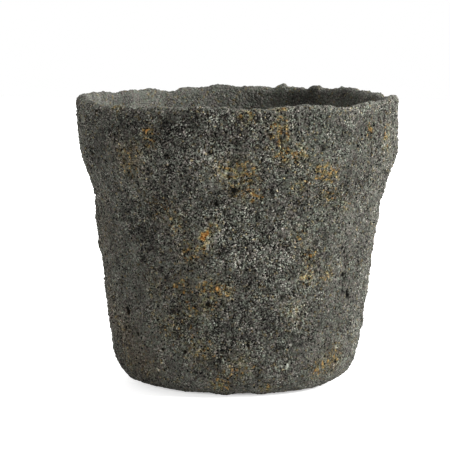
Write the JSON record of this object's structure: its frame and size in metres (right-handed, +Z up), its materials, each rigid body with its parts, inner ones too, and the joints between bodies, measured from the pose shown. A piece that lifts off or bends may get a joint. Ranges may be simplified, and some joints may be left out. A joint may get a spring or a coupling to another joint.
{
  "type": "flower pot",
  "caption": "Round flower pot with a torn, uneven lip, an upright collar, a tapered gritty wall, a fine lining, a pull-out drain plug and felt feet.",
  "frame": {"origin": "on the ground under the centre of the pot, level with the undersides of the felt pads", "axes": "+Z up along the pot's axis, +Y to the back, away from the pictured side, +X to the picture's right"},
  "size_m": [0.2476, 0.2455, 0.2231],
  "materials": {
    "clay_core": "matt fired clay",
    "grit_coat": "coarse matt cement and grit",
    "inner_lining": "fine matt cement",
    "drain_plug": "matt black rubber",
    "felt_pad": "pressed felt"
  },
  "bodies": {
    "pot": {"clay_core": "clay_core", "grit_coat": "grit_coat", "inner_lining": "inner_lining", "felt_pad_1": "felt_pad", "felt_pad_2": "felt_pad", "felt_pad_3": "felt_pad", "felt_pad_4": "felt_pad"},
    "plug": {"drain_plug": "drain_plug"}
  },
  "joints": [
    {"name": "drain_plug_pull", "type": "slide", "parent": "pot", "child": "plug", "axis": [0, 0, 1], "range_m": [0, 0.23]}
  ]
}
